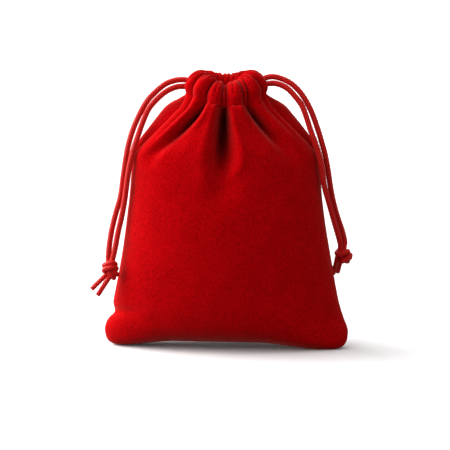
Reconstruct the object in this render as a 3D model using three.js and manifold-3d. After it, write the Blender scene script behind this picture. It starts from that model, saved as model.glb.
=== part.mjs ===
// A small velvet drawstring pouch, standing filled, its mouth gathered on two doubled cords.
// Millimetres, +Z up, front towards -Y. The origin is on the ground under the middle of the pouch.
import * as THREE from "three";
import Module from "manifold-3d";

const wasm = await Module();
wasm.setup();

// Driving dimensions of the cloth
const clothThickness = 1.0;
const seamGap = 0.5; // between the two panels where they are sewn together
const seamRoll = 0.5; // how far the cloth rolls back from the seam on its outside
const cornerForward = 10; // the right bottom corner is pulled this far to the front
const cornerReach = 32; // height at which that pull has died away
const bodyHalfWidth = 49.6; // at the bottom corners, the widest place

// Driving dimensions of the gathered casing
const neckHalfWidth = 10.6; // to the middle of the cord tunnel, at the sides
const neckHalfDepth = 8.2; // to the middle of the cord tunnel, front and back
const neckTurn = 10.5; // how slowly the casing turns round its ends
const frontTunnelHeight = 102.8;
const backTunnelHeight = 104.2;
const sideTunnelHeight = 105.4;
const casingLean = THREE.MathUtils.degToRad(25); // the casing leans in over the mouth
const casingEndGap = 2.6; // from the middle plane to the open end of each casing

// Driving dimensions of the cords
const cordDiameter = 2.3;
const cordSides = 8;
const cordSpacing = 2.85; // the two cords in the tunnel, centre to centre

// Rings of the body, from the bottom seam up. seam and back are half widths at the side seam and
// of the back panel, front and rear are depths from the middle plane, and seamY is where the side
// seam lies. pinch above 1 flattens the section towards the seams.
const bodyRings = [
  { z: 0, seam: 43.0, back: 43.0, front: 0.65, rear: 0.65, seamY: 0, pinch: 1 },
  { z: 0, seam: 44.5, back: 44.5, front: 5.0, rear: 5.0, seamY: 0, pinch: 0.8 },
  { z: 1.2, seam: 47.6, back: 47.6, front: 9.8, rear: 9.8, seamY: 0, pinch: 0.95 },
  { z: 3.5, seam: 49.2, back: 49.2, front: 14.5, rear: 14.5, seamY: 0, pinch: 1.15 },
  { z: 7.5, seam: 49.6, back: 49.6, front: 18.4, rear: 18.2, seamY: 0, pinch: 1.3 },
  { z: 12, seam: 48.0, back: 48.0, front: 20.8, rear: 20.6, seamY: 0, pinch: 1.3 },
  { z: 18, seam: 46.3, back: 46.3, front: 22.6, rear: 22.4, seamY: 0, pinch: 1.2 },
  { z: 30, seam: 44.0, back: 44.0, front: 24.2, rear: 24.1, seamY: 0, pinch: 1.1 },
  { z: 45, seam: 41.4, back: 41.4, front: 24.6, rear: 24.6, seamY: 0, pinch: 1.05 },
  { z: 60, seam: 39.2, back: 39.2, front: 24.0, rear: 24.0, seamY: 0, pinch: 1 },
  { z: 72, seam: 38.1, back: 38.2, front: 22.8, rear: 22.6, seamY: -0.6, pinch: 1 },
  { z: 79, seam: 36.8, back: 38.0, front: 21.4, rear: 21.3, seamY: -2.6, pinch: 1 },
  { z: 84, seam: 32.4, back: 35.2, front: 19.8, rear: 19.8, seamY: -5.2, pinch: 1 },
  { z: 89, seam: 27.2, back: 31.2, front: 18.0, rear: 18.0, seamY: -6.2, pinch: 1 },
  { z: 94, seam: 21.8, back: 27.0, front: 16.0, rear: 16.2, seamY: -5.4, pinch: 1 },
  { z: 98, seam: 17.6, back: 22.6, front: 14.3, rear: 14.8, seamY: -4.0, pinch: 1 },
];

// Section of the casing around the cord tunnel: out is away from the mouth, up is up, and gather is
// the share of the rib height there. It starts at the stitch line, goes over the top and ends at the
// hem, which hangs free of the folds.
const casingRings = [
  { out: 3.4, up: -4.8, gather: 0.5 },
  { out: 3.9, up: -1.2, gather: 1 },
  { out: 3.7, up: 2.0, gather: 1 },
  { out: 2.5, up: 4.6, gather: 0.75 },
  { out: 0.0, up: 5.6, gather: 0.42 },
  { out: -2.2, up: 4.7, gather: 0.25 },
  { out: -3.9, up: 2.1, gather: 0.12 },
  { out: -4.2, up: -0.4, gather: 0.1 },
  { out: -3.8, up: -2.1, gather: 0.07 },
  { out: -3.2, up: -3.2, gather: 0.05 },
];

// Valleys between the ribs, in degrees round the neck from the left end of the casing to the right:
// where each lies at the shoulder of the body, at the stitch line and at the rim. crest is the
// height of the rib that follows it.
const frontGathers = [
  { shoulder: 0, stitch: 0, rim: 0, crest: 2.6 },
  { shoulder: 22, stitch: 30, rim: 35, crest: 3.0 },
  { shoulder: 48, stitch: 58, rim: 65, crest: 2.9 },
  { shoulder: 80, stitch: 84, rim: 85, crest: 1.2 },
  { shoulder: 90, stitch: 90, rim: 90, crest: 2.9 },
  { shoulder: 112, stitch: 118, rim: 120, crest: 1.5 },
  { shoulder: 128, stitch: 125, rim: 126, crest: 2.8 },
  { shoulder: 158, stitch: 157, rim: 141, crest: 2.8 },
  { shoulder: 180, stitch: 180, rim: 180, crest: 0 },
];
const backGathers = [
  { shoulder: 0, stitch: 0, rim: 0, crest: 2.6 },
  { shoulder: 24, stitch: 28, rim: 38, crest: 2.7 },
  { shoulder: 50, stitch: 55, rim: 63, crest: 2.2 },
  { shoulder: 78, stitch: 80, rim: 82, crest: 2.0 },
  { shoulder: 100, stitch: 103, rim: 102, crest: 2.1 },
  { shoulder: 128, stitch: 126, rim: 120, crest: 2.6 },
  { shoulder: 155, stitch: 153, rim: 144, crest: 2.7 },
  { shoulder: 180, stitch: 180, rim: 180, crest: 0 },
];

// Soft folds that run down from the gathers: angle at the stitch line and at the foot of the fold,
// its depth, its half width in degrees at top and foot, and the height where it has died away.
const frontFolds = [
  { top: 56, foot: 34, depth: 6.7, topWidth: 7, footWidth: 13, end: 72 },
  { top: 87, foot: 88, depth: 7.8, topWidth: 7, footWidth: 9, end: 54 },
  { top: 122, foot: 139, depth: 6.4, topWidth: 7, footWidth: 12, end: 72 },
];
const backFolds = [
  { top: 55, foot: 42, depth: 4.6, topWidth: 9, footWidth: 16, end: 68 },
  { top: 80, foot: 82, depth: 5.4, topWidth: 8, footWidth: 12, end: 60 },
  { top: 126, foot: 138, depth: 4.8, topWidth: 9, footWidth: 15, end: 70 },
];

const stitchRing = bodyRings.length; // number of the ring where the casing starts
const rimRing = stitchRing + 4;
const lastRing = stitchRing + casingRings.length - 1;
const shoulderRing = 12;
const evenRing = 9; // from here down the columns are evenly spread
const rad = THREE.MathUtils.degToRad;
const { clamp, lerp, smoothstep } = THREE.MathUtils;

// Height of the tunnel's middle at an angle round the neck
function tunnelHeight(angle, rear) {
  const middle = rear ? backTunnelHeight : frontTunnelHeight;
  return lerp(sideTunnelHeight, middle, Math.sin(angle) ** 4);
}

// Middle of the cord tunnel and the direction that points away from the mouth
function tunnel(angle, rear, endGap) {
  const side = rear ? 1 : -1;
  const sine = Math.sin(angle);
  const y = endGap + (neckHalfDepth - endGap) * sine;
  const centre = new THREE.Vector3(-neckHalfWidth * Math.cos(angle), side * y, tunnelHeight(angle, rear));
  const outward = new THREE.Vector3(-Math.cos(angle) / neckHalfWidth, (side * sine) / neckTurn, 0);
  return { centre, outward: outward.normalize() };
}

// A point of the casing's section, leaning in over the mouth
function casingPoint(ring, angle, rear) {
  const { centre, outward } = tunnel(angle, rear, casingEndGap);
  const out = ring.out * Math.cos(casingLean) - ring.up * Math.sin(casingLean);
  const up = ring.out * Math.sin(casingLean) + ring.up * Math.cos(casingLean);
  return centre.addScaledVector(outward, out).add(new THREE.Vector3(0, 0, up));
}

// A point of a body ring. The back panel reaches round past the side seam at the shoulders.
function bodyPoint(ring, angle, rear) {
  const edge = seamGap / 2 + seamRoll;
  let x;
  let y;
  if (rear) {
    const past = Math.acos(clamp(ring.seam / ring.back, -1, 1));
    const turn = -past + (angle * (Math.PI + 2 * past)) / Math.PI;
    const start = ring.seamY + edge;
    const middle = start + (ring.back - ring.seam) * 1.6;
    x = -ring.back * Math.cos(turn);
    y = Math.sin(turn) >= 0
      ? middle + (ring.rear - middle) * Math.sin(turn) ** ring.pinch
      : middle + ((middle - start) * Math.sin(turn)) / Math.sin(past);
  } else {
    const start = ring.seamY - edge;
    x = -ring.seam * Math.cos(angle);
    y = start + (-ring.front - start) * Math.sin(angle) ** ring.pinch;
  }
  const pull = Math.max(0, 1 - ring.z / cornerReach) ** 2;
  y -= cornerForward * pull * ((x / bodyHalfWidth + 1) / 2) ** 2;
  return new THREE.Vector3(x, y, ring.z);
}

function ringPoint(index, angle, rear) {
  const k = clamp(index, 0, lastRing);
  if (k < stitchRing) {
    return bodyPoint(bodyRings[k], angle, rear);
  }
  return casingPoint(casingRings[k - stitchRing], angle, rear);
}

// The smooth sheet without its ribs and folds: a curve through the rings at each angle
function smoothPoint(level, angle, rear) {
  const k = Math.min(Math.floor(level), lastRing - 1);
  const t = level - k;
  const [a, b, c, d] = [-1, 0, 1, 2].map((step) => ringPoint(k + step, angle, rear));
  const weights = [
    (-t + 2 * t ** 2 - t ** 3) / 2,
    (2 - 5 * t ** 2 + 3 * t ** 3) / 2,
    (t + 4 * t ** 2 - 3 * t ** 3) / 2,
    (-(t ** 2) + t ** 3) / 2,
  ];
  const point = new THREE.Vector3();
  [a, b, c, d].forEach((corner, i) => point.addScaledVector(corner, weights[i]));
  return point;
}

// Unit normal of the smooth sheet, pointing to the outside of the cloth
function smoothNormal(level, angle, rear) {
  const step = 0.01;
  const safe = clamp(angle, 0.04, Math.PI - 0.04);
  const across = smoothPoint(level, safe + step, rear).sub(smoothPoint(level, safe - step, rear));
  const low = Math.max(level - step, 0);
  const high = Math.min(level + step, lastRing);
  const along = smoothPoint(high, safe, rear).sub(smoothPoint(low, safe, rear));
  const normal = across.cross(along).normalize();
  return rear ? normal.negate() : normal;
}

// Angle of a column of the sheet, which follows its gather from the body up to the rim
function columnAngle(column, level, gathers) {
  const k = Math.min(Math.floor(column), gathers.length - 2);
  const t = column - k;
  const even = (180 * column) / (gathers.length - 1);
  const at = (key) => lerp(gathers[k][key], gathers[k + 1][key], t);
  if (level <= shoulderRing) {
    return rad(lerp(even, at("shoulder"), smoothstep(level, evenRing - 3, shoulderRing)));
  }
  if (level <= stitchRing) {
    return rad(lerp(at("shoulder"), at("stitch"), smoothstep(level, shoulderRing, stitchRing)));
  }
  return rad(lerp(at("stitch"), at("rim"), smoothstep(level, stitchRing, rimRing)));
}

// Share of the rib height at a level: full on the casing, dying away below the stitch line
function gatherShare(level) {
  if (level < stitchRing) {
    return casingRings[0].gather * smoothstep(level, shoulderRing - 1, stitchRing);
  }
  const k = Math.min(Math.floor(level) - stitchRing, casingRings.length - 2);
  return lerp(casingRings[k].gather, casingRings[k + 1].gather, level - stitchRing - k);
}

// Round ribs with sharp valleys between them
function ribHeight(column, level, gathers) {
  const k = Math.min(Math.floor(column), gathers.length - 2);
  const sharpness = 0.7 - 0.25 * smoothstep(level, stitchRing, rimRing - 1);
  return gathers[k].crest * Math.sin(Math.PI * (column - k)) ** sharpness * gatherShare(level);
}

// Depth of the soft folds of the body
function foldDepth(level, angle, height, folds) {
  let depth = 0;
  for (const fold of folds) {
    const rise = clamp((height - fold.end) / (100 - fold.end), 0, 1);
    const fade = smoothstep(rise, 0, 0.75) * (1 - smoothstep(level, stitchRing - 2.5, stitchRing + 1.5));
    const middle = rad(lerp(fold.foot, fold.top, rise));
    const width = rad(lerp(fold.footWidth, fold.topWidth, rise));
    depth += fold.depth * fade * Math.exp(-(((angle - middle) / width) ** 2));
  }
  return depth;
}

// Outside and inside points of the sheet at a column and level
function sheetPoints(column, level, rear) {
  const gathers = rear ? backGathers : frontGathers;
  const folds = rear ? backFolds : frontFolds;
  const raised = (c) => {
    const angle = columnAngle(c, level, gathers);
    const point = smoothPoint(level, angle, rear);
    const rib = ribHeight(c, level, gathers);
    const fold = foldDepth(level, angle, point.z, folds);
    return { angle, point, rib, fold, lift: rib - fold };
  };
  const { angle, point, rib, fold } = raised(column);
  const normal = smoothNormal(level, angle, rear);
  const before = raised(Math.max(column - 0.05, 0));
  const after = raised(Math.min(column + 0.05, gathers.length - 1));
  const slope = (after.lift - before.lift) / after.point.distanceTo(before.point);
  let depth = clothThickness * Math.min(Math.hypot(1, slope), 1.8);
  if (level >= stitchRing) {
    depth = Math.min(depth, clothThickness + rib);
  }
  // ribs stand along the normal, folds go level towards the middle
  const flat = new THREE.Vector3(normal.x, normal.y, 0).normalize();
  const outside = point.clone().addScaledVector(normal, rib).addScaledVector(flat, -fold);
  normal.lerp(flat, clamp(fold / 2, 0, 1)).normalize();
  const inside = outside.clone().addScaledVector(normal, -depth);
  return { outside, inside };
}

// Keeps the inside of a panel on its own side of the seam, where the panels lie on each other
function keepToSide(point, level, angle, rear, atEdge) {
  if (level > stitchRing - 1) {
    return;
  }
  const side = rear ? 1 : -1;
  const left = smoothPoint(level, angle < Math.PI / 2 ? 0 : Math.PI, rear);
  const pull = Math.max(0, 1 - point.z / cornerReach) ** 2;
  const bend = (x) => -cornerForward * pull * ((x / bodyHalfWidth + 1) / 2) ** 2;
  const plane = left.y - bend(left.x) + bend(point.x) - side * seamRoll;
  if (atEdge || (point.y - plane) * side < 0) {
    point.y = plane;
  }
}

// Rows of points up the sheet: few columns low on the body, more where the cloth is gathered
const ribColumns = 6;
function panelGeometry(rear) {
  const gathers = rear ? backGathers : frontGathers;
  const ribs = gathers.length - 1;
  const levels = [];
  for (let ring = 0; ring < lastRing; ring += 1) {
    levels.push(ring);
    if (ring >= 8 && ring <= stitchRing) levels.push(ring + 0.5);
  }
  levels.push(lastRing);
  const positions = [];
  const rows = levels.map((level) => {
    const perRib = level < evenRing ? ribColumns / 2 : ribColumns;
    const row = { outside: [], inside: [] };
    for (let i = 0; i <= ribs * perRib; i += 1) {
      const column = i / perRib;
      const angle = columnAngle(column, level, gathers);
      const { outside, inside } = sheetPoints(column, level, rear);
      const atEdge = i === 0 || i === ribs * perRib;
      keepToSide(inside, level, angle, rear, atEdge);
      row.outside.push(positions.push(outside) - 1);
      row.inside.push(positions.push(inside) - 1);
    }
    return row;
  });
  const triangles = [];
  const add = (a, b, c) => triangles.push(rear ? [a, c, b] : [a, b, c]);
  const bridge = (low, high) => {
    const ratio = (high.length - 1) / (low.length - 1);
    for (let i = 0; i < low.length - 1; i += 1) {
      const first = i * ratio;
      for (let j = 0; j < ratio; j += 1) add(low[i], high[first + j + 1], high[first + j]);
      add(low[i], low[i + 1], high[first + ratio]);
    }
  };
  const reversed = (row) => [...row].reverse();
  for (let r = 0; r < rows.length - 1; r += 1) {
    bridge(rows[r].outside, rows[r + 1].outside);
    bridge(reversed(rows[r].inside), reversed(rows[r + 1].inside));
    const [low, high] = [rows[r], rows[r + 1]];
    const last = low.outside.length - 1;
    const end = high.outside.length - 1;
    bridge([low.inside[0], low.outside[0]], [high.inside[0], high.outside[0]]);
    bridge([low.outside[last], low.inside[last]], [high.outside[end], high.inside[end]]);
  }
  const [first, final] = [rows[0], rows[rows.length - 1]];
  bridge(first.inside, first.outside);
  bridge(final.outside, final.inside);
  const geometry = new THREE.BufferGeometry();
  geometry.setAttribute("position", new THREE.Float32BufferAttribute(positions.flatMap((p) => p.toArray()), 3));
  geometry.setIndex(triangles.flat());
  geometry.computeVertexNormals();
  return geometry;
}

// Free strands of the cords, from the casing down to the knot, as hand-placed points
const leftFrontStrand = [
  [-11.8, -1.4, 105.7], [-13.2, -0.3, 105.9], [-17.5, -0.5, 106.0], [-20.6, -0.8, 105.6], [-24.4, -1.3, 103.8],
  [-28.4, -2.0, 100.4],
  [-31.4, -2.8, 96.6], [-33.6, -3.8, 91.6], [-35.6, -5.2, 86.0], [-37.4, -6.4, 80.4], [-38.9, -7.0, 74.0],
  [-40.0, -7.0, 67.0], [-41.0, -6.6, 60.0], [-42.2, -6.4, 53.6], [-43.6, -6.4, 47.6], [-44.8, -6.4, 41.4],
  [-45.9, -6.4, 36.5],
];
const leftBackStrand = [
  [-11.6, 1.2, 106.9], [-13.0, 0.1, 107.9], [-17.2, 0.4, 108.6], [-20.6, 0.4, 108.3], [-24.6, 0.2, 106.8],
  [-28.8, -0.2, 103.4],
  [-32.2, -0.9, 99.6], [-35.2, -2.0, 94.2], [-37.6, -3.2, 88.6], [-39.4, -4.4, 82.6], [-40.6, -5.2, 76.0],
  [-41.6, -5.0, 69.0], [-42.6, -4.4, 62.0], [-44.6, -4.2, 55.0], [-46.2, -4.4, 48.6], [-47.3, -4.8, 42.0],
  [-47.8, -5.2, 36.5],
];
const rightFrontStrand = [
  [11.8, -1.4, 105.7], [13.2, -0.3, 106.1], [18.0, -0.6, 107.2], [21.0, -1.2, 107.0], [24.6, -2.2, 105.4],
  [27.8, -3.4, 102.2],
  [30.4, -4.4, 98.8], [32.2, -5.6, 94.4], [33.8, -6.8, 89.4], [35.8, -8.0, 84.0], [37.6, -8.4, 78.4],
  [38.8, -8.2, 72.4], [39.6, -7.2, 66.4], [41.4, -5.6, 60.0], [43.4, -3.6, 53.0], [45.2, -1.6, 47.0],
  [46.6, -0.2, 42.0],
];
const rightBackStrand = [
  [11.7, 1.3, 107.0], [13.0, 0.2, 108.3], [18.0, 0.4, 109.8], [22.0, 0.2, 109.2], [26.2, -0.4, 107.2],
  [29.8, -1.2, 103.8],
  [32.4, -2.2, 100.0], [34.6, -3.4, 95.6], [36.8, -4.8, 89.6], [38.4, -5.6, 84.4], [40.0, -5.8, 78.6],
  [41.2, -5.2, 72.4], [42.2, -4.0, 66.0], [43.4, -2.4, 60.0], [45.2, -0.4, 53.4], [47.4, 0.8, 47.0],
  [48.6, 1.4, 42.0],
];

// Tails below each knot, and the knot's own turn of both strands
const leftTails = [
  [[-48.6, -5.2, 31.0], [-50.4, -5.0, 27.6], [-52.6, -4.8, 25.0], [-54.3, -4.8, 23.4]],
  [[-46.9, -7.0, 30.6], [-48.6, -7.4, 26.8], [-50.6, -7.4, 23.6], [-52.2, -7.4, 21.2]],
];
const rightTails = [
  [[49.0, 3.2, 37.0], [47.6, 6.0, 32.6], [46.2, 7.6, 29.4]],
  [[46.2, 1.6, 37.0], [45.8, 4.4, 32.0], [44.6, 8.0, 28.2]],
];
const knotDiameter = 3.2;
const knotTurn = [
  [0.3, 0.4, 3.4], [2.7, -1.0, 1.9], [1.2, -2.9, 0.6], [-2.2, -2.1, -0.4], [-2.6, 1.2, -1.0],
  [0.2, 2.5, -1.6], [2.6, 0.9, -2.4], [0.8, -1.3, -3.6],
];
const leftKnotPlace = [-48.1, -7.0, 30.8];
const rightKnotPlace = [47.9, 1.2, 37.4];

function solidFrom(geometry) {
  const position = geometry.getAttribute("position");
  const seen = new Map();
  const vertices = [];
  const numbers = [];
  for (let i = 0; i < position.count; i += 1) {
    const corner = [position.getX(i), position.getY(i), position.getZ(i)];
    const key = corner.map((v) => v.toFixed(5)).join();
    if (!seen.has(key)) {
      seen.set(key, vertices.length / 3);
      vertices.push(...corner);
    }
    numbers.push(seen.get(key));
  }
  const index = geometry.index ? Array.from(geometry.index.array) : numbers.map((_, i) => i);
  const triVerts = [];
  for (let i = 0; i < index.length; i += 3) {
    const [a, b, c] = [numbers[index[i]], numbers[index[i + 1]], numbers[index[i + 2]]];
    if (a !== b && b !== c && c !== a) triVerts.push(a, b, c);
  }
  const mesh = new wasm.Mesh({
    numProp: 3,
    vertProperties: new Float32Array(vertices),
    triVerts: new Uint32Array(triVerts),
  });
  return new wasm.Manifold(mesh);
}

function geometryFrom(solid) {
  const mesh = solid.getMesh();
  const geometry = new THREE.BufferGeometry();
  geometry.setAttribute("position", new THREE.BufferAttribute(mesh.vertProperties, 3));
  geometry.setIndex(new THREE.BufferAttribute(mesh.triVerts, 1));
  geometry.computeVertexNormals();
  return geometry;
}

// A plain round tube along hand-placed points
function tubeSolid(points, diameter, steps) {
  const route = new THREE.CatmullRomCurve3(points.map((p) => new THREE.Vector3(...p)));
  const section = new THREE.Shape();
  for (let i = 0; i < cordSides; i += 1) {
    const turn = (2 * Math.PI * i) / cordSides;
    const corner = [(diameter / 2) * Math.cos(turn), (diameter / 2) * Math.sin(turn)];
    if (i === 0) section.moveTo(...corner);
    else section.lineTo(...corner);
  }
  section.closePath();
  return solidFrom(new THREE.ExtrudeGeometry(section, { steps, extrudePath: route }));
}

// Route of a cord through the tunnel, all the way round the neck. It lies outside the other cord
// where it comes out, under or over it at the front and back, and inside it at the far side.
function tunnelRoute(fromLeft) {
  const points = [];
  const turns = 9;
  const start = rad(20);
  for (let i = 0; i <= 2 * turns + 1; i += 1) {
    const rear = i > turns;
    const step = rear ? 2 * turns + 1 - i : i;
    const half = lerp(start, Math.PI, step / turns);
    const angle = fromLeft ? half : Math.PI - half;
    const { centre, outward } = tunnel(angle, rear, casingEndGap);
    const twist = half * (fromLeft ? -1 : 1);
    centre.addScaledVector(outward, (cordSpacing / 2) * Math.cos(twist));
    centre.z += (cordSpacing / 2) * Math.sin(twist);
    points.push(centre.toArray());
  }
  return points;
}

function drawcordGeometry(fromLeft, frontStrand, backStrand, tails, knotPlace) {
  const route = [
    ...[...tails[0]].reverse(),
    ...[...frontStrand].reverse(),
    ...tunnelRoute(fromLeft),
    ...backStrand,
    ...tails[1],
  ];
  const cord = tubeSolid(route, cordDiameter, 76);
  const turn = knotTurn.map((p) => p.map((v, i) => v + knotPlace[i]));
  return geometryFrom(cord.add(tubeSolid(turn, knotDiameter, 14)));
}

const velvet = () => new THREE.MeshStandardMaterial({ color: "#b4000f", roughness: 0.9, metalness: 0 });
const braid = () => new THREE.MeshStandardMaterial({ color: "#c60f16", roughness: 0.7, metalness: 0 });

function piece(name, geometry, material) {
  const mesh = new THREE.Mesh(geometry, material);
  mesh.name = name;
  return mesh;
}

const group = new THREE.Group();
group.add(piece("front_panel", panelGeometry(false), velvet()));
group.add(piece("back_panel", panelGeometry(true), velvet()));
group.add(piece(
  "left_drawcord",
  drawcordGeometry(true, leftFrontStrand, leftBackStrand, leftTails, leftKnotPlace),
  braid(),
));
group.add(piece(
  "right_drawcord",
  drawcordGeometry(false, rightFrontStrand, rightBackStrand, rightTails, rightKnotPlace),
  braid(),
));

export default group;
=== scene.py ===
import math

import bpy
import numpy as np
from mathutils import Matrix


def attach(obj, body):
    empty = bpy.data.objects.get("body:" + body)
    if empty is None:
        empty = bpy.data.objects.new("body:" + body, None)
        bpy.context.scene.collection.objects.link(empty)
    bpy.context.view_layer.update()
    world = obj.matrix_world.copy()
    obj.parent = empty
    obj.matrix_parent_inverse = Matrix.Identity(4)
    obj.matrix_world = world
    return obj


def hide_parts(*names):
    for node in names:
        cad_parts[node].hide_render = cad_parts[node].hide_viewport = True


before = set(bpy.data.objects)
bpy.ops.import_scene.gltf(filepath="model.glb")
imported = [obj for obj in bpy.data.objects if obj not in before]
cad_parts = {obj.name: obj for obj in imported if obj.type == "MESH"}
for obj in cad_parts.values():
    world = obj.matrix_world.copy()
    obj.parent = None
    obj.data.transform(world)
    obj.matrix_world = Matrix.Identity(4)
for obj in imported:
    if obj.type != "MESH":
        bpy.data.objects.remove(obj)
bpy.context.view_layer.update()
print("frame loaded")

# camera at the photo's angle, a long lens a little above the pouch
cameraSet = {
    "distance": 0.9,
    "elevation": 8.0,  # degrees above the ground
    "aim": (-0.0004, 0.0, 0.0494),
    "fieldWidth": 0.18335,  # metres across the picture at the pouch
    "sensor": 36,
}


def addCamera(values):
    lift = math.radians(values["elevation"])
    aimX, aimY, aimZ = values["aim"]
    away = values["distance"]
    place = (aimX, aimY - away * math.cos(lift), aimZ + away * math.sin(lift))
    bpy.ops.object.camera_add(location=place, rotation=(math.radians(90) - lift, 0, 0))
    camera = bpy.context.object
    camera.name = "photoCamera"
    camera.data.sensor_width = values["sensor"]
    camera.data.lens = values["sensor"] * away / values["fieldWidth"]
    bpy.context.scene.camera = camera


addCamera(cameraSet)

# the braided cords, in metres
cordSet = {
    "diameter": 0.0023,
    "yarns": 6,  # yarns each way round the braid
    "lay": 0.00155,  # length in which a yarn moves on by one place
    "yarnRise": 0.00016,  # how far a yarn stands proud where it crosses over
    "yarnRound": 0.00024,  # roundness of each yarn
    "sink": 0.76,  # below 1, the yarns' crowns stand a little outside the cord's thickness
    "step": 0.00016,  # between two rings of the braid
    "around": 44,
    "spacing": 0.00285,  # between the two cords in the tunnel
    "tunnelStart": math.radians(20),  # how far past the casing's end the route starts
    "tunnelSteps": 9,  # through each casing
    "tailShare": 0.84,  # the cut ends are a little thinner
    "tailPoints": 10,
    "knotSwell": 1.04,  # squeezed cords press into each other
    "strandStep": 0.0005,  # between two points of the line before it is evened
    "lineReach": 3,  # rings on each side that the line is evened over
    "girthReach": 6,
    "pathSkip": 8,  # rings of a strand to one point of the path it gives
}

# the strands' points are the part's own, each strand from the casing down;
# a tail runs from where it leaves the knot to its end
leftSide = {
    "front": [
        (-0.0118, -0.0014, 0.1057), (-0.0132, -0.0003, 0.1059), (-0.0175, -0.0005, 0.106),
        (-0.0206, -0.0008, 0.1056), (-0.0244, -0.0013, 0.1038), (-0.0284, -0.002, 0.1004),
        (-0.0314, -0.0028, 0.0966), (-0.0336, -0.0038, 0.0916), (-0.0356, -0.0052, 0.086),
        (-0.0374, -0.0064, 0.0804), (-0.0389, -0.007, 0.074), (-0.04, -0.007, 0.067),
        (-0.041, -0.0066, 0.06), (-0.0422, -0.0064, 0.0536), (-0.0436, -0.0064, 0.0476),
        (-0.0448, -0.0064, 0.0414), (-0.0459, -0.0064, 0.0365),
    ],
    "back": [
        (-0.0116, 0.0012, 0.1069), (-0.013, 0.0001, 0.1079), (-0.0172, 0.0004, 0.1086),
        (-0.0206, 0.0004, 0.1083), (-0.0246, 0.0002, 0.1068), (-0.0288, -0.0002, 0.1034),
        (-0.0322, -0.0009, 0.0996), (-0.0352, -0.002, 0.0942), (-0.0376, -0.0032, 0.0886),
        (-0.0394, -0.0044, 0.0826), (-0.0406, -0.0052, 0.076), (-0.0416, -0.005, 0.069),
        (-0.0426, -0.0044, 0.062), (-0.0446, -0.0042, 0.055), (-0.0462, -0.0044, 0.0486),
        (-0.0473, -0.0048, 0.042), (-0.0478, -0.0052, 0.0365),
    ],
    "tails": [
        [(-0.0488, -0.0070, 0.0298), (-0.0546, -0.0064, 0.0240)],
        [(-0.0475, -0.0080, 0.0288), (-0.0521, -0.0076, 0.0216)],
    ],
    "knotPlace": (-0.0463, -0.0072, 0.0320),
    "knotTilt": math.radians(20),
}
rightSide = {
    "front": [
        (0.0118, -0.0014, 0.1057), (0.0132, -0.0003, 0.1061), (0.018, -0.0006, 0.1072),
        (0.021, -0.0012, 0.107), (0.0246, -0.0022, 0.1054), (0.0278, -0.0034, 0.1022),
        (0.0304, -0.0044, 0.0988), (0.0322, -0.0056, 0.0944), (0.0338, -0.0068, 0.0894),
        (0.0358, -0.008, 0.084), (0.0376, -0.0084, 0.0784), (0.0388, -0.0082, 0.0724),
        (0.0396, -0.0072, 0.0664), (0.0414, -0.0056, 0.06), (0.0434, -0.0036, 0.053),
        (0.0452, -0.0016, 0.047), (0.0466, -0.0002, 0.042),
    ],
    "back": [
        (0.0117, 0.0013, 0.107), (0.013, 0.0002, 0.1083), (0.018, 0.0004, 0.1098),
        (0.022, 0.0002, 0.1092), (0.0262, -0.0004, 0.1072), (0.0298, -0.0012, 0.1038),
        (0.0324, -0.0022, 0.1), (0.0346, -0.0034, 0.0956), (0.0368, -0.0048, 0.0896),
        (0.0384, -0.0056, 0.0844), (0.04, -0.0058, 0.0786), (0.0412, -0.0052, 0.0724),
        (0.0422, -0.004, 0.066), (0.0434, -0.0024, 0.06), (0.0452, -0.0004, 0.0534),
        (0.0474, 0.0008, 0.047), (0.0486, 0.0014, 0.042),
    ],
    "tails": [
        [(0.0470, 0.0038, 0.0338), (0.0460, 0.0080, 0.0286)],
        [(0.0453, 0.0024, 0.0344), (0.0442, 0.0070, 0.0282)],
    ],
    "knotPlace": (0.0487, 0.0012, 0.0363),
    "knotTilt": math.radians(40),
}

# an overhand knot tied in both strands together: it starts loose and is pulled tight;
# all lengths are in millimetres about the knot's place
knotSet = {
    "line": [
        (-0.9, 0, 9), (-0.9, 0.3, 5), (-1.6, 0.6, 2.2), (-1.8, -0.6, -0.6), (0, -2.4, -3.6),
        (2.2, -1.4, -5), (2.6, 1.6, -4.4), (-0.2, 3, -2), (-3.4, 2.8, 0.6), (-5, 0.4, 3),
        (-3.2, -2.6, 4.2), (0.4, -3.4, 3.4), (3.8, -2.4, 1.6), (4.6, 0.4, -0.4),
        (2.6, 1.6, -1.6), (0.9, 0.2, -2.4), (0.4, -0.4, -6), (-1, -0.4, -8.6),
    ],
    "lineStep": 0.2,
    "squeezed": 1.85,  # thickness of a cord inside the tight knot
    "startApart": 0.55,  # half the way between the two strands at the start, in thicknesses
    "beads": 46,  # to a strand
    "pulls": 420,
    "tightAfter": 0.6,  # share of the pulls after which the knot is tight
    "tightStep": 0.58,  # cord between two beads when the knot is tight
    "nearBeads": 1.25,  # thicknesses along one strand inside which its beads may touch
    "rounds": 4,  # of keeping length and distance in each pull
    "soften": 0.06,
    "turnedAt": 365,  # the pull at which the knot is turned to its tilt
    "endBeads": 6,  # beads at each end over which the turn fades out
}

neckSet = {
    "halfWidth": 0.0106,
    "halfDepth": 0.0082,
    "turn": 0.0105,  # how slowly the casing turns round its ends
    "frontHeight": 0.1010,
    "backHeight": 0.1042,
    "sideHeight": 0.1054,
    "lean": math.radians(25),
    "endGap": 0.0026,
    "endRise": 4,  # power with which the casing climbs to its ends
}


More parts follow.
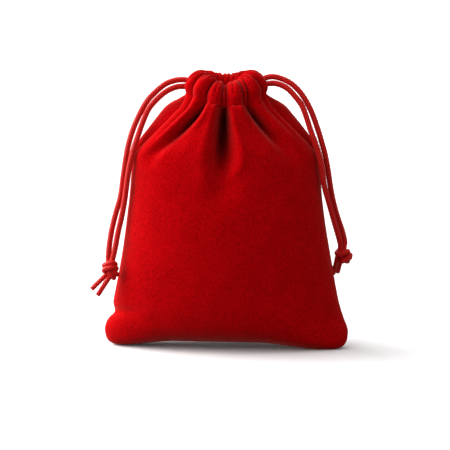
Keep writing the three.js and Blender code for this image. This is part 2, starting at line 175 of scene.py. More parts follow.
def tunnel(angle, rear):
    # middle of the cord tunnel at an angle round the neck, and the way that points off the mouth
    side = 1 if rear else -1
    sine, cosine = np.sin(angle), np.cos(angle)
    y = neckSet["endGap"] + (neckSet["halfDepth"] - neckSet["endGap"]) * sine
    middle = neckSet["backHeight"] if rear else neckSet["frontHeight"]
    z = neckSet["sideHeight"] + (middle - neckSet["sideHeight"]) * sine ** neckSet["endRise"]
    centre = np.stack([-neckSet["halfWidth"] * cosine, side * y, z], axis=-1)
    outward = np.stack([-cosine / neckSet["halfWidth"], side * sine / neckSet["turn"], 0 * cosine], axis=-1)
    return centre, outward / np.linalg.norm(outward, axis=-1, keepdims=True)


def tunnelRoute(fromLeft):
    # a cord's way through the front casing and back through the rear one, winding round its neighbour
    points = []
    steps, start = cordSet["tunnelSteps"], cordSet["tunnelStart"]
    for i in range(2 * steps + 2):
        rear = i > steps
        step = 2 * steps + 1 - i if rear else i
        half = start + (math.pi - start) * step / steps
        angle = half if fromLeft else math.pi - half
        centre, outward = tunnel(np.array(angle), rear)
        twist = -half if fromLeft else half
        centre = centre + outward * cordSet["spacing"] / 2 * math.cos(twist)
        centre[2] += cordSet["spacing"] / 2 * math.sin(twist)
        points.append(tuple(centre))
    return points


def runAlong(line):
    # length of the line up to each of its points
    return np.concatenate([[0], np.cumsum(np.linalg.norm(np.diff(line, axis=0), axis=1))])


def smoothLine(points, step, between=30):
    # an even walk along a smooth curve through the points, measured at many places between two of them
    points = np.array(points, dtype=float)
    framed = np.vstack([2 * points[0] - points[1], points, 2 * points[-1] - points[-2]])
    t = np.linspace(0, 1, between, endpoint=False)[:, None]
    fine = []
    for k in range(1, len(framed) - 2):
        a, b, c, d = framed[k - 1:k + 3]
        square = (2 * a - 5 * b + 4 * c - d) * t ** 2
        cube = (3 * b - a - 3 * c + d) * t ** 3
        fine.append((2 * b + (c - a) * t + square + cube) / 2)
    fine = np.vstack(fine + [points[-1:]])
    run = runAlong(fine)
    at = np.linspace(0, run[-1], max(int(round(run[-1] / step)), 2) + 1)
    return np.column_stack([np.interp(at, run, fine[:, i]) for i in range(3)])


def carriedFrames(line):
    # two directions across the line, carried along it without twist
    along = np.gradient(line, axis=0)
    along /= np.linalg.norm(along, axis=1, keepdims=True)
    across = np.zeros_like(along)
    first = np.cross(along[0], (0.0, 1.0, 0.0))
    across[0] = first / np.linalg.norm(first)
    for i in range(1, len(line)):
        turned = across[i - 1] - along[i] * across[i - 1].dot(along[i])
        across[i] = turned / np.linalg.norm(turned)
    return across, np.cross(along, across)


def keepLength(chain, links, gap):
    # each link between two beads goes back to its length
    reach = chain[links + 1] - chain[links]
    length = np.linalg.norm(reach, axis=1, keepdims=True)
    shift = 0.5 * (length - gap) * reach / length
    chain[links] += shift
    chain[links + 1] -= shift


def keepApart(chain, free, thick):
    # beads that aren't neighbours push each other off to the thickness of the cord
    apart = chain[:, None] - chain[None]
    distance = np.linalg.norm(apart, axis=2) + np.eye(len(chain))
    close = free & (distance < thick)
    push = apart * np.where(close, (thick - distance) / distance * 0.5, 0)[..., None]
    chain += push.sum(axis=1) / np.maximum(close.sum(axis=1), 1)[:, None]


def turnKnot(chain, middle, share, tilt):
    # the knot is set down at its place and turned as seen from the front
    chain -= middle * share
    x, z = chain[:, :1].copy(), chain[:, 2:].copy()
    cosine, sine = np.cos(tilt * share), np.sin(tilt * share)
    chain[:, :1] = x * cosine - z * sine
    chain[:, 2:] = x * sine + z * cosine


def tightKnot(place, tilt, tops, feet):
    # two chains of beads are drawn up from the loose knot; their points come back in metres
    middle = smoothLine(knotSet["line"], knotSet["lineStep"])
    beads, thick = knotSet["beads"], knotSet["squeezed"]
    beside = carriedFrames(middle)[0] * thick * knotSet["startApart"]
    pick = np.linspace(0, len(middle) - 1, beads).round().astype(int)
    chain = np.vstack([(middle + beside)[pick], (middle - beside)[pick]])
    number = np.arange(2 * beads)
    count = number % beads
    inner = number[(count > 0) & (count < beads - 1)]
    even = number[(count < beads - 1) & (count % 2 == 0)]
    odd = number[(count < beads - 1) & (count % 2 == 1)]
    other = (number[:, None] // beads) != (number[None] // beads)
    turnShare = np.clip(np.minimum(count, beads - 1 - count) / knotSet["endBeads"], 0, 1)[:, None]
    place = np.array(place)
    ends = [0, beads - 1, beads, 2 * beads - 1]
    held = chain[ends].copy()
    goal = (np.array([tops[0], feet[0], tops[1], feet[1]]) - place) * 1000
    loose = np.linalg.norm(chain[1] - chain[0])
    for pull in range(knotSet["pulls"]):
        if pull == knotSet["turnedAt"]:
            turnKnot(chain, chain[inner].mean(axis=0), turnShare, tilt)
        share = min(1, pull / (knotSet["pulls"] * knotSet["tightAfter"]))
        gap = loose + (knotSet["tightStep"] - loose) * share
        near = round(thick * knotSet["nearBeads"] / gap)
        free = other | (np.abs(number[:, None] - number[None]) > near)
        for again in range(knotSet["rounds"]):
            for links in (even, odd):
                keepLength(chain, links, gap)
            chain[inner] += ((chain[inner - 1] + chain[inner + 1]) / 2 - chain[inner]) * knotSet["soften"]
            keepApart(chain, free, thick)
            chain[ends] = held + (goal - held) * share
    chain = chain / 1000 + place
    return chain[:beads], chain[beads:]


def meshPiece(name, vertices, faces, attribute, shade):
    # a smooth mesh with one value at each vertex for its material
    mesh = bpy.data.meshes.new(name)
    mesh.from_pydata([tuple(v) for v in vertices], [], faces)
    mesh.update()
    piece = bpy.data.objects.new(name, mesh)
    bpy.context.collection.objects.link(piece)
    for face in mesh.polygons:
        face.use_smooth = True
    mesh.attributes.new(attribute, "FLOAT", "POINT").data.foreach_set("value", shade.astype(np.float32))
    return piece


def braidHeight(turn, run):
    # yarns wound both ways, each going over and under those that cross it
    place = cordSet["yarns"] * turn / (2 * math.pi)
    p, q = place + run / cordSet["lay"], place - run / cordSet["lay"]
    i, j = np.round(p), np.round(q)
    overP = cordSet["yarnRise"] * np.cos(math.pi * q) * (-1.0) ** i
    overQ = -cordSet["yarnRise"] * np.cos(math.pi * p) * (-1.0) ** j
    crownP = cordSet["yarnRound"] * (1 - 4 * (p - i) ** 2)
    crownQ = cordSet["yarnRound"] * (1 - 4 * (q - j) ** 2)
    return np.maximum(overP + crownP, overQ + crownQ)


def braidPiece(name, line, across, lift, girth, first, last):
    # a closed braided tube along part of the line
    turn = np.linspace(0, 2 * math.pi, cordSet["around"], endpoint=False)
    run = np.arange(first, last + 1)[:, None] * cordSet["step"]
    height = braidHeight(turn[None, :], run)
    top = cordSet["yarnRise"] + cordSet["yarnRound"]
    part = slice(first, last + 1)
    radius = (cordSet["diameter"] / 2 - top * cordSet["sink"] + height) * girth[part, None]
    rings = line[part, None] + radius[..., None] * (
        np.cos(turn)[None, :, None] * across[part, None] + np.sin(turn)[None, :, None] * lift[part, None])
    count, around = radius.shape
    vertices = list(rings.reshape(-1, 3)) + [line[first], line[last]]
    faces = []
    for r in range(count - 1):
        for c in range(around):
            d = (c + 1) % around
            faces.append((r * around + c, r * around + d, (r + 1) * around + d, (r + 1) * around + c))
    foot, head = count * around, count * around + 1
    for c in range(around):
        d = (c + 1) % around
        faces.append((foot, d, c))
        faces.append((head, (count - 1) * around + c, (count - 1) * around + d))
    # the yarns' height, lowest down between them, drives the painted shade between the yarns
    level = (height.ravel() + cordSet["yarnRise"]) / (top + cordSet["yarnRise"])
    return meshPiece(name, vertices, faces, "yarnHeight", np.concatenate([level, [0.5, 0.5]]))


def runningMean(values, reach):
    # each row becomes the mean of its neighbours up to the reach on both sides
    padded = np.pad(values, ((reach, reach), (0, 0)), mode="edge")
    return sum(padded[i:i + len(values)] for i in range(2 * reach + 1)) / (2 * reach + 1)


def cordLine(side, values):
    # tail, knot, strand, tunnel, strand, knot and tail in one row, with the cord's girth along it
    front, back, tails = values["front"], values["back"], values["tails"]
    pair = [(front[-1], tails[0][0]), (back[-1], tails[1][0])]
    pair.sort(key=lambda way: -way[0][0])
    knots = tightKnot(values["knotPlace"], values["knotTilt"], [way[0] for way in pair], [way[1] for way in pair])
    if pair[0][0] != front[-1]:
        knots = knots[::-1]
    middle = smoothLine(list(reversed(front)) + tunnelRoute(side == "left") + back, cordSet["strandStep"])
    frontTail, backTail = [np.linspace(tail[0], tail[1], cordSet["tailPoints"])[1:] for tail in tails]
    rows = [frontTail[::-1], knots[0][:0:-1], middle, knots[1][1:], backTail]
    squeeze = knotSet["squeezed"] / 1000 / cordSet["diameter"] * cordSet["knotSwell"]
    shares = (cordSet["tailShare"], squeeze, 1, squeeze, cordSet["tailShare"])
    coarse = np.vstack(rows)
    girth = np.concatenate([np.full(len(row), share) for row, share in zip(rows, shares)])
    line = smoothLine(coarse, cordSet["step"])
    run = runAlong(coarse)
    girth = np.interp(np.linspace(0, 1, len(line)), run / run[-1], girth)[:, None]
    return runningMean(line, cordSet["lineReach"]), runningMean(girth, cordSet["girthReach"])[:, 0]


def addCord(side, values):
    line, girth = cordLine(side, values)
    across, lift = carriedFrames(line)

    def nearest(point, low, high):
        return low + int(np.argmin(np.linalg.norm(line[low:high] - np.array(point), axis=1)))

    half = len(line) // 2
    frontKnot = nearest(values["front"][-1], 0, half)
    frontExit = nearest(values["front"][1], frontKnot, half)
    backExit = nearest(values["back"][1], half, len(line))
    backKnot = nearest(values["back"][-1], backExit, len(line))
    cuts = {
        "front_strand": (frontKnot, frontExit),
        "held_cord": (frontExit, backExit),
        "back_strand": (backExit, backKnot),
        "front_knot_strand": (0, frontKnot),
        "back_knot_strand": (backKnot, len(line) - 1),
    }
    made = {}
    for part, (first, last) in cuts.items():
        piece = braidPiece(side + "_" + part, line, across, lift, girth, first, last)
        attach(piece, "root")
        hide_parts(side + "_drawcord")
        made[part] = piece
    for part, knotPart in (("front_strand", "front_knot_strand"), ("back_strand", "back_knot_strand")):
        first, last = cuts[part]
    return made


leftCord = addCord("left", leftSide)
rightCord = addCord("right", rightSide)
print("cords braided and knotted")

# the two velvet panels, in metres; a level counts rings of the body from the bottom seam up,
# then rings of the casing up over its rim and down inside
# body: height, seam half width, back half width, front depth, rear depth, seam's y, pinch
bodyRings = [
    (0, 0.043, 0.043, 0.00065, 0.00065, 0, 1), (0, 0.0445, 0.0445, 0.005, 0.005, 0, 0.8),
    (0.0012, 0.0476, 0.0476, 0.0098, 0.0098, 0, 0.95), (0.0035, 0.0492, 0.0492, 0.0145, 0.0145, 0, 1.15),
    (0.0075, 0.0496, 0.0496, 0.0184, 0.0182, 0, 1.3), (0.012, 0.048, 0.048, 0.0208, 0.0206, 0, 1.3),
    (0.018, 0.0463, 0.0463, 0.0226, 0.0224, 0, 1.2), (0.03, 0.044, 0.044, 0.0242, 0.0241, 0, 1.1),
    (0.045, 0.0414, 0.0414, 0.0246, 0.0246, 0, 1.05), (0.06, 0.0392, 0.0392, 0.024, 0.024, 0, 1),
    (0.072, 0.0381, 0.0382, 0.0228, 0.0226, -0.0006, 1), (0.079, 0.0368, 0.038, 0.0214, 0.0213, -0.0026, 1),
    (0.084, 0.0324, 0.0352, 0.0198, 0.0198, -0.0052, 1), (0.089, 0.0272, 0.0312, 0.018, 0.018, -0.0062, 1),
    (0.094, 0.0218, 0.027, 0.016, 0.0162, -0.0054, 1), (0.098, 0.0176, 0.0226, 0.0143, 0.0148, -0.004, 1),
]
# section of the casing round the tunnel: out from the mouth, up, share of the rib height
casingRings = [
    (0.0034, -0.0048, 0.5), (0.0039, -0.0012, 1), (0.0037, 0.002, 1), (0.0025, 0.0046, 0.75),
    (0, 0.0056, 0.42), (-0.0022, 0.0047, 0.25), (-0.0039, 0.0021, 0.12), (-0.0042, -0.0004, 0.1),
    (-0.0038, -0.0021, 0.07), (-0.0032, -0.0032, 0.05),
]
evenRing = 6  # up to this level the columns of the cloth are evenly spread
shoulderRing = 12
stitchRing = len(bodyRings)
rimRing = stitchRing + 4
lastRing = stitchRing + len(casingRings) - 1

# valleys between the ribs, in degrees at the shoulder, the stitch line and the rim, and the next rib's height
frontGathers = [
    (0, 0, 0, 0.0026), (22, 30, 35, 0.0030), (48, 58, 65, 0.0029), (80, 84, 85, 0.0012), (90, 90, 90, 0.0029),
    (112, 118, 120, 0.0015), (128, 125, 126, 0.0028), (158, 157, 141, 0.0028), (180, 180, 180, 0),
]
backGathers = [
    (0, 0, 0, 0.0026), (24, 28, 38, 0.0027), (50, 55, 63, 0.0022), (78, 80, 82, 0.0020),
    (100, 103, 102, 0.0021), (128, 126, 120, 0.0026), (155, 153, 144, 0.0027), (180, 180, 180, 0),
]
# folds that run down from the gathers: angle at top and foot, depth, half width at top and foot, lowest height
frontFolds = [
    (56, 34, 0.0067, 7, 13, 0.072), (87, 88, 0.0078, 7, 9, 0.054), (122, 139, 0.0064, 7, 12, 0.072),
]
backFolds = [
    (55, 42, 0.0046, 9, 16, 0.068), (80, 82, 0.0054, 8, 12, 0.060), (126, 138, 0.0048, 9, 15, 0.070),
]
# raised lips beside the front folds: places as (height, angle), rise, half width in degrees, lowest and highest
frontLips = [
    ([(0.070, 40), (0.084, 48), (0.094, 63), (0.102, 65)], 0.0013, 5.5, 0.074, 0.103),
    ([(0.066, 87), (0.069, 91), (0.0765, 98), (0.083, 100.5), (0.093, 96), (0.101, 93)], 0.0013, 4.5, 0.066, 0.103),
    ([(0.080, 126), (0.0876, 122), (0.0938, 116), (0.1005, 108)], 0.0009, 5.0, 0.078, 0.103),
    ([(0.060, 82), (0.072, 78), (0.085, 77), (0.097, 77), (0.101, 78)], 0.0012, 6.0, 0.064, 0.103),
]
# small creases on the casing: angle at the stitch line and the rim, from and to level, depth, half width
frontCreases = [
    (16, 20, 17.2, 20.6, 0.0007, 3.0), (44, 44, 18.0, 20.8, 0.0008, 3.0), (50, 55, 18.6, 21.0, 0.0006, 2.2),
    (71, 75, 16.6, 19.4, 0.0005, 2.4), (101, 108, 17.0, 20.4, 0.0006, 2.6), (140, 131, 17.6, 20.8, 0.0009, 2.6),
    (149, 150, 18.4, 20.8, 0.0007, 3.0), (168, 163, 17.4, 20.6, 0.0007, 3.0),
]
backCreases = [
    (14, 18, 17.2, 20.6, 0.0007, 3.0), (42, 50, 17.4, 20.6, 0.0008, 3.0), (68, 72, 18.0, 20.8, 0.0006, 2.4),
    (92, 92, 17.0, 20.4, 0.0006, 2.4), (114, 110, 17.4, 20.4, 0.0007, 2.6), (140, 132, 17.4, 20.8, 0.0008, 3.0),
    (166, 162, 17.4, 20.6, 0.0007, 3.0),
]

panelSet = {
    "flat": (0.100, 0.138),  # cut size: width, length with the turned casing
    "thickness": 0.001,
    "mostThickened": 1.8,  # a steep slope thickens the cloth no further than this
    "seamGap": 0.00003,  # between the two panels where they are sewn
    "seamRoll": 0.0005,
    "seamEase": 1.6,  # how far the back bellies round its seams
    "bodyHalfWidth": 0.0496,
    "cornerForward": 0.010,  # the right bottom corner is pulled to the front
    "cornerReach": 0.032,
    "ribColumns": 24,
    "rows": 196,
    "ribBlunt": 0.7,  # power of a rib's round section at the stitch line
    "ribBlunter": 0.25,  # taken off that power towards the rim
    "stitchDepth": 0.0006,
    "stitchWidth": 0.42,  # of a level
    "foldTop": 0.1,  # height at which a fold is deepest
    "foldRise": 0.75,  # share of its run over which a fold deepens
    "foldFade": (2.5, 1.5),  # levels below and above the stitch line where a fold runs out
    "foldLevel": 0.002,  # from this depth the cloth's thickness lies level
    "lipFade": (0.008, 0.005),  # metres over which a lip runs out below and above
    "lipEnd": 0.5,  # levels above the stitch line where the lips end
    "samples": 1200,  # places at which the length of the cloth is measured
}
# the foot is clear of the ground in the middle, as the pouch stands on its corners
archSet = {"rise": 0.0024, "middle": -0.004, "flatTo": 0.016, "ends": 0.043, "fade": 0.010}
# the left bottom corner is nipped in just above its bulge
pinchSet = {"depth": 0.0019, "from": 0.030, "over": 0.018, "power": 1.5, "height": 0.0145, "slope": 0.12,
            "corner": 0.046, "width": 0.0022}
# slow swells of the filled cloth: waves over x and z, their phase, waves over z, their phase, rise
swayWaves = [(92, 24, 1.3, 78, -0.6, 0.00030), (173, -51, 0.4, 139, 1.1, 0.00012)]
swayHeights = (0.004, 0.02, 0.085, 0.1)
# painted shade: the velvet's colour is darkened down in the folds and between the ribs, where shade falls
paintedShadeSet = {"fold": 0.74, "foldFrom": 0.0030, "foldTo": 0.0078, "valley": 0.45, "narrow": 4, "darkest": 0.15}


def smoothStep(x, low, high):
    t = np.clip((x - low) / (high - low), 0, 1)
    return t * t * (3 - 2 * t)


def bell(x, width):
    return np.exp(-(x / width) ** 2)


def cornerShare(x):
    # from none at the left corner to all at the right one
    return ((x / panelSet["bodyHalfWidth"] + 1) / 2) ** 2


def bodyPoint(ring, angle, rear):
    z, seam, back, front, rearDepth, seamY, pinch = ring
    edge = panelSet["seamGap"] / 2 + panelSet["seamRoll"]
    if rear:
        past = math.acos(min(seam / back, 1.0))
        turn = -past + angle * (math.pi + 2 * past) / math.pi
        start = seamY + edge
        middle = start + (back - seam) * panelSet["seamEase"]
        x = -back * np.cos(turn)
        sine = np.sin(turn)
        above = middle + (rearDepth - middle) * np.clip(sine, 0, 1) ** pinch
        below = middle + (middle - start) * sine / math.sin(past) if past > 0 else middle + 0 * sine
        y = np.where(sine >= 0, above, below)
    else:
        start = seamY - edge
        x = -seam * np.cos(angle)
        y = start + (-front - start) * np.clip(np.sin(angle), 0, 1) ** pinch
    pull = max(0.0, 1 - z / panelSet["cornerReach"]) ** 2
    y = y - panelSet["cornerForward"] * pull * cornerShare(x)
    return np.stack([x, y, np.full_like(x, z)], axis=-1)


def casingPoint(ring, angle, rear):
    centre, outward = tunnel(angle, rear)
    lean = neckSet["lean"]
    out = ring[0] * math.cos(lean) - ring[1] * math.sin(lean)
    up = ring[0] * math.sin(lean) + ring[1] * math.cos(lean)
    return centre + outward * out + np.array([0, 0, up])


def ringPoint(k, angle, rear):
    k = min(max(k, 0), lastRing)
    if k < stitchRing:
        return bodyPoint(bodyRings[k], angle, rear)
    return casingPoint(casingRings[k - stitchRing], angle, rear)


def smoothPoint(level, angle, rear):
    # a point of the smooth form, on a curve through the rings
    k = min(int(level), lastRing - 1)
    t = level - k
    weights = [
        (-t + 2 * t ** 2 - t ** 3) / 2,
        (2 - 5 * t ** 2 + 3 * t ** 3) / 2,
        (t + 4 * t ** 2 - 3 * t ** 3) / 2,
        (-t ** 2 + t ** 3) / 2,
    ]
    return sum(w * ringPoint(k - 1 + i, angle, rear) for i, w in enumerate(weights))


def smoothNormal(level, angle, rear):
    step, margin = 0.01, 0.04
    safe = np.clip(angle, margin, math.pi - margin)
    across = smoothPoint(level, safe + step, rear) - smoothPoint(level, safe - step, rear)
    along = smoothPoint(min(level + step, lastRing), safe, rear) - smoothPoint(max(level - step, 0), safe, rear)
    normal = np.cross(across, along)
    normal /= np.linalg.norm(normal, axis=-1, keepdims=True)
    return -normal if rear else normal


def columnAngle(column, level, gathers):
    # angle of a column of the cloth, which follows its gather up to the rim
    table = np.array(gathers)
    places = np.arange(len(gathers))
    even = 180 * column / (len(gathers) - 1)
    shoulder, stitch, rim = [np.interp(column, places, table[:, i]) for i in range(3)]
    if level <= shoulderRing:
        share = smoothStep(level, evenRing, shoulderRing)
        return np.radians(even + (shoulder - even) * share)
    if level <= stitchRing:
        share = smoothStep(level, shoulderRing, stitchRing)
        return np.radians(shoulder + (stitch - shoulder) * share)
    share = smoothStep(level, stitchRing, rimRing)
    return np.radians(stitch + (rim - stitch) * share)


def gatherShare(level):
    if level < stitchRing:
        return casingRings[0][2] * smoothStep(level, shoulderRing - 1, stitchRing)
    return np.interp(level - stitchRing, np.arange(len(casingRings)), [ring[2] for ring in casingRings])


def ribHeight(column, level, gathers):
    k = np.minimum(np.floor(column), len(gathers) - 2).astype(int)
    crest = np.array([gather[3] for gather in gathers])[k]
    power = panelSet["ribBlunt"] - panelSet["ribBlunter"] * smoothStep(level, stitchRing, rimRing - 1)
    return crest * np.clip(np.sin(math.pi * (column - k)), 0, 1) ** power * gatherShare(level)


def foldDepth(level, angle, height, folds):
    depth = np.zeros_like(angle)
    below, above = panelSet["foldFade"]
    for top, foot, deep, topWidth, footWidth, end in folds:
        rise = np.clip((height - end) / (panelSet["foldTop"] - end), 0, 1)
        runOut = smoothStep(level, stitchRing - below, stitchRing + above)
        fade = smoothStep(rise, 0, panelSet["foldRise"]) * (1 - runOut)
        middle = np.radians(foot + (top - foot) * rise)
        width = np.radians(footWidth + (topWidth - footWidth) * rise)
        depth += deep * fade * bell(angle - middle, width)
    return depth


def lipRise(level, angle, height, rear):
    rise = np.zeros_like(angle)
    if rear or level > stitchRing + panelSet["lipEnd"]:
        return rise
    turned = np.degrees(angle)
    below, above = panelSet["lipFade"]
    for places, amount, width, low, high in frontLips:
        middle = np.interp(height, [p[0] for p in places], [p[1] for p in places])
        fade = smoothStep(height, low, low + below) * (1 - smoothStep(height, high - above, high))
        rise += amount * fade * bell(turned - middle, width)
    return rise


def creaseDepth(level, angle, rear):
    depth = np.zeros_like(angle)
    turned = np.degrees(angle)
    for stitch, rim, low, high, deep, width in backCreases if rear else frontCreases:
        if low < level < high:
            middle = stitch + (rim - stitch) * np.clip((level - stitchRing) / (rimRing - stitchRing), 0, 1)
            fade = math.sin(math.pi * (level - low) / (high - low))
            depth += deep * fade * bell(turned - middle, width)
    return depth


def softSway(x, z):
    low, full, fade, high = swayHeights
    share = smoothStep(z, low, full) * (1 - smoothStep(z, fade, high))
    return share * sum(
        np.sin(x * overX + z * overZ + phase) * np.sin(z * upZ + upPhase) * rise
        for overX, overZ, phase, upZ, upPhase, rise in swayWaves)


def footArch(x, z):
    middle = 1 - smoothStep(np.abs(x - archSet["middle"]), archSet["flatTo"], archSet["ends"])
    return archSet["rise"] * middle * bell(z, archSet["fade"])


def cornerPinch(x, z):
    near = np.clip((-x - pinchSet["from"]) / pinchSet["over"], 0, 1) ** pinchSet["power"]
    above = z - pinchSet["height"] - pinchSet["slope"] * (x + pinchSet["corner"])
    return pinchSet["depth"] * near * bell(above, pinchSet["width"])


def clothLift(column, level, rear):
    # how far the cloth stands off its smooth form, and how far its folds go in towards the middle
    gathers = backGathers if rear else frontGathers
    angle = columnAngle(column, level, gathers)
    point = smoothPoint(level, angle, rear)
    x, z = point[:, 0], point[:, 2]
    fold = foldDepth(level, angle, z, backFolds if rear else frontFolds)
    stitch = panelSet["stitchDepth"] * bell(level - stitchRing, panelSet["stitchWidth"])
    lift = ribHeight(column, level, gathers) - stitch
    lift = lift + lipRise(level, angle, z, rear) - creaseDepth(level, angle, rear)
    if level < stitchRing:
        lift = lift + softSway(x, z) - cornerPinch(x, z)
        point[:, 2] += footArch(x, z)
    return angle, point, lift, fold


# painted shade: a value per vertex that darkens the velvet's colour in the folds and in the valleys between the
# ribs
def paintedFoldShade(level, columns, rear):
    fold = clothLift(columns, level, rear)[3]
    bottom = 1 - np.clip(np.sin(math.pi * (columns % 1)), 0, 1)
    inFold = paintedShadeSet["fold"] * smoothStep(fold, paintedShadeSet["foldFrom"], paintedShadeSet["foldTo"])
    shade = 1 - inFold - paintedShadeSet["valley"] * gatherShare(level) * bottom ** paintedShadeSet["narrow"]
    return np.clip(shade, paintedShadeSet["darkest"], 1)


def heldAtSeam(inside, level, angle, rear):
    # the inner face doesn't cross the plane of the seams
    side = 1 if rear else -1
    ends = smoothPoint(level, np.array([0.0, math.pi]), rear)
    edge = np.where((angle < math.pi / 2)[:, None], ends[0], ends[1])
    reach = panelSet["cornerForward"] * np.maximum(0, 1 - inside[:, 2] / panelSet["cornerReach"]) ** 2
    bend = reach * cornerShare(edge[:, 0]) - reach * cornerShare(inside[:, 0])
    plane = edge[:, 1] + bend - side * panelSet["seamRoll"]
    held = (inside[:, 1] - plane) * side < 0
    held[0] = held[-1] = True
    return np.where(held, plane, inside[:, 1])


def clothRow(level, columns, rear):
    angle, point, lift, fold = clothLift(columns, level, rear)
    normal = smoothNormal(level, angle, rear)
    step = 0.05
    behind = clothLift(np.maximum(columns - step, 0), level, rear)
    ahead = clothLift(np.minimum(columns + step, columns[-1]), level, rear)
    slope = (ahead[2] - ahead[3] - behind[2] + behind[3]) / np.linalg.norm(ahead[1] - behind[1], axis=1)
    depth = panelSet["thickness"] * np.minimum(np.hypot(1, slope), panelSet["mostThickened"])
    if level >= stitchRing:
        depth = np.minimum(depth, panelSet["thickness"] + np.maximum(lift, 0))
    flat = normal * (1, 1, 0)
    flat /= np.linalg.norm(flat, axis=1, keepdims=True)
    outside = point + normal * lift[:, None] - flat * fold[:, None]
    back = normal + (flat - normal) * np.clip(fold / panelSet["foldLevel"], 0, 1)[:, None]
    inside = outside - back / np.linalg.norm(back, axis=1, keepdims=True) * depth[:, None]
    if level <= stitchRing - 1:
        inside[:, 1] = heldAtSeam(inside, level, angle, rear)
    return outside, inside


def evenLevels(rows):
    # levels spaced by the length of cloth between them, measured near the middle of the front
    fine = np.linspace(0, lastRing, panelSet["samples"])
    nearMiddle = np.array([1.3])
    run = runAlong(np.array([smoothPoint(level, nearMiddle, False)[0] for level in fine]))
    return np.interp(np.linspace(0, run[-1], rows), run, fine)


def addPanel(name, rear):
    ribs = len(backGathers if rear else frontGathers) - 1
    columns = np.linspace(0, ribs, ribs * panelSet["ribColumns"] + 1)
    levels = evenLevels(panelSet["rows"])
    pairs = [clothRow(level, columns, rear) for level in levels]
    outside = np.array([pair[0] for pair in pairs])
    inside = np.array([pair[1] for pair in pairs])
    rows, wide = outside.shape[:2]
    vertices = np.concatenate([outside.reshape(-1, 3), inside.reshape(-1, 3)])
    faces = []
    offset = rows * wide

    def add(a, b, c, d):
        faces.append((a, d, c, b) if rear else (a, b, c, d))

    for r in range(rows - 1):
        for c in range(wide - 1):
            a, b = r * wide + c, r * wide + c + 1
            add(a, b, b + wide, a + wide)
            add(b + offset, a + offset, a + wide + offset, b + wide + offset)
        first, end = r * wide, r * wide + wide - 1
        add(first + offset, first, first + wide, first + wide + offset)
        add(end, end + offset, end + wide + offset, end + wide)
    top = (rows - 1) * wide
    for c in range(wide - 1):
        add(c + offset, c + 1 + offset, c + 1, c)
        add(top + c, top + c + 1, top + c + 1 + offset, top + c + offset)
    # painted shade per vertex, lower in the folds and between the ribs
    shade = np.array([paintedFoldShade(level, columns, rear) for level in levels]).ravel()
    panel = meshPiece(name, vertices, faces, "paintedFoldShade", np.concatenate([shade, shade]))
    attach(panel, "root")
    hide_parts("back_panel" if rear else "front_panel")
    return panel


frontVelvet = addPanel("front_velvet", False)
backVelvet = addPanel("back_velvet", True)
print("velvet panels gathered")

# materials: everything reads object coordinates or the piece's own attribute
velvetSet = {
    "deep": (0.32, 0.0002, 0.0012, 1),
    "open": (0.56, 0.0008, 0.0034, 1),
    "ramp": (0.34, 0.66),
    "foldShadeColour": (0.05, 0.02, 0.02, 1),  # painted shade: share of the colour left where the painted shade in folds and between ribs is deepest
    "full": (1, 1, 1, 1),
    "pileScale": 1500,
    "pileDetail": 3,
    "crushScale": 130,
    "crushDetail": 4,
    "crushShare": 0.22,
    "relief": 0.7,
    "reliefDepth": 0.0004,
    "surface": {
        "Roughness": 0.9,
        "Specular IOR Level": 0.0,
        "Sheen Weight": 0.5,
        "Sheen Roughness": 0.38,
        "Sheen Tint": (1.0, 0.22, 0.18, 1),
    },
}
# painted shade: the braid's gap colour darkens it down between the yarns, where shade falls, and the yarn colour is
# its own
braidSet = {
    "gap": (0.05, 0.0001, 0.0006, 1),
    "yarn": (0.92, 0.010, 0.012, 1),
    "ramp": (0.56, 0.9),
    "fibreScale": 1500,
    "fibreDetail": 2,
    "relief": 0.2,
    "reliefDepth": 0.0001,
    "surface": {
        "Roughness": 0.34,
        "Specular IOR Level": 0.4,
        "Specular Tint": (1.0, 0.30, 0.22, 1),
        "Sheen Weight": 0.12,
        "Sheen Tint": (1.0, 0.10, 0.06, 1),
    },
}


def newMaterial(name):
    material = bpy.data.materials.new(name)
    material.use_nodes = True
    tree = material.node_tree
    return material, tree.nodes, tree.links, tree.nodes["Principled BSDF"]


def setInputs(node, values):
    for name, value in values.items():
        node.inputs[name].default_value = value


def rampBetween(nodes, low, high, fromShade, toShade):
    ramp = nodes.new("ShaderNodeValToRGB")
    for element, position, shade in zip(ramp.color_ramp.elements, (low, high), (fromShade, toShade)):
        element.position = position
        element.color = shade
    return ramp


def objectNoise(nodes, links, scale, detail):
    place = nodes.new("ShaderNodeTexCoord")
    noise = nodes.new("ShaderNodeTexNoise")
    setInputs(noise, {"Scale": scale, "Detail": detail})
    links.new(place.outputs["Object"], noise.inputs["Vector"])
    return noise


def attributeNode(nodes, name):
    node = nodes.new("ShaderNodeAttribute")
    node.attribute_name = name
    return node


def addRelief(nodes, links, height, surface, values):
    relief = nodes.new("ShaderNodeBump")
    setInputs(relief, {"Strength": values["relief"], "Distance": values["reliefDepth"]})
    links.new(height.outputs["Fac"], relief.inputs["Height"])
    links.new(relief.outputs["Normal"], surface.inputs["Normal"])


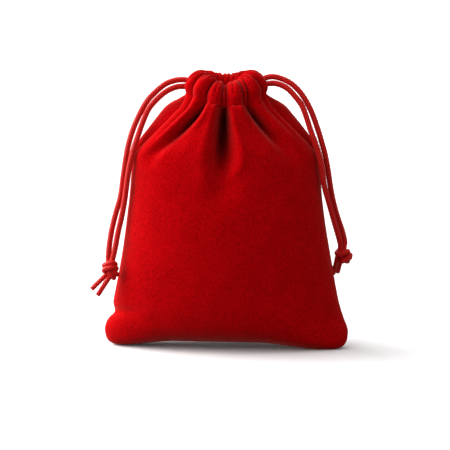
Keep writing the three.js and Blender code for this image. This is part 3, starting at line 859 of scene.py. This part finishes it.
def velvetMaterial(values):
    material, nodes, links, surface = newMaterial("redVelvet")
    pile = objectNoise(nodes, links, values["pileScale"], values["pileDetail"])
    crush = objectNoise(nodes, links, values["crushScale"], values["crushDetail"])
    blend = nodes.new("ShaderNodeMix")
    blend.inputs["Factor"].default_value = values["crushShare"]
    links.new(pile.outputs["Fac"], blend.inputs[2])
    links.new(crush.outputs["Fac"], blend.inputs[3])
    shade = rampBetween(nodes, *values["ramp"], values["deep"], values["open"])
    links.new(blend.outputs[0], shade.inputs["Fac"])
    # painted shade: the base colour is multiplied down in the folds and between the ribs
    foldShadeColour = rampBetween(nodes, paintedShadeSet["darkest"], 1.0, values["foldShadeColour"], values["full"])
    links.new(attributeNode(nodes, "paintedFoldShade").outputs["Fac"], foldShadeColour.inputs["Fac"])
    darkened = nodes.new("ShaderNodeMix")
    darkened.data_type = "RGBA"
    darkened.blend_type = "MULTIPLY"
    darkened.inputs["Factor"].default_value = 1
    links.new(shade.outputs["Color"], darkened.inputs[6])
    links.new(foldShadeColour.outputs["Color"], darkened.inputs[7])
    links.new(darkened.outputs[2], surface.inputs["Base Color"])
    addRelief(nodes, links, pile, surface, values)
    setInputs(surface, values["surface"])
    return material


def braidMaterial(values):
    material, nodes, links, surface = newMaterial("redBraid")
    # painted shade between the yarns, from the yarns' height
    shade = rampBetween(nodes, *values["ramp"], values["gap"], values["yarn"])
    links.new(attributeNode(nodes, "yarnHeight").outputs["Fac"], shade.inputs["Fac"])
    links.new(shade.outputs["Color"], surface.inputs["Base Color"])
    fibre = objectNoise(nodes, links, values["fibreScale"], values["fibreDetail"])
    addRelief(nodes, links, fibre, surface, values)
    setInputs(surface, values["surface"])
    return material


velvet = velvetMaterial(velvetSet)
braid = braidMaterial(braidSet)
for panel in (frontVelvet, backVelvet):
    panel.data.materials.append(velvet)
for piece in list(leftCord.values()) + list(rightCord.values()):
    piece.data.materials.append(braid)
print("materials assigned")

# white ground and soft daylight from the left
stageSet = {
    "groundSize": 12,
    "ground": (0.22, 0.22, 0.22, 1),  # what the ground throws back at the pouch
    "groundSeen": (0.92, 0.92, 0.92, 1),
    "room": (1, 1, 1, 1),
    "ambient": 0.1,
    "lights": {  # strength, lean from straight above, turn round the pouch, softness, in degrees
        "keyLight": (6.0, 71, -112, 70),
        "sideLight": (3.5, 68, -78, 90),
        "topLight": (1.35, 22, 180, 70),
        "fillLight": (0.95, 80, 50, 80),
    },
}


def addGround(values):
    bpy.ops.object.select_all(action="DESELECT")
    bpy.ops.mesh.primitive_plane_add(size=values["groundSize"], location=(0, 0, 0))
    ground = bpy.context.object
    ground.name = "ground"
    material, nodes, links, surface = newMaterial("whiteGround")
    nodes.remove(surface)
    ray = nodes.new("ShaderNodeLightPath")
    seen = nodes.new("ShaderNodeMix")
    seen.data_type = "RGBA"
    seen.inputs[6].default_value = values["ground"]
    seen.inputs[7].default_value = values["groundSeen"]
    links.new(ray.outputs["Is Camera Ray"], seen.inputs["Factor"])
    matt = nodes.new("ShaderNodeBsdfDiffuse")
    links.new(seen.outputs[2], matt.inputs["Color"])
    links.new(matt.outputs["BSDF"], nodes["Material Output"].inputs["Surface"])
    ground.data.materials.append(material)


def addLights(values):
    world = bpy.data.worlds.new("softRoom")
    bpy.context.scene.world = world
    world.use_nodes = True
    setInputs(world.node_tree.nodes["Background"], {"Color": values["room"], "Strength": values["ambient"]})
    for name, (strength, lean, turn, softness) in values["lights"].items():
        bpy.ops.object.light_add(type="SUN", rotation=(math.radians(lean), 0, math.radians(turn)))
        light = bpy.context.object
        light.name = name
        light.data.energy = strength
        light.data.angle = math.radians(softness)


addGround(stageSet)
addLights(stageSet)
bpy.context.scene.view_settings.view_transform = "Standard"
print("stage lit")
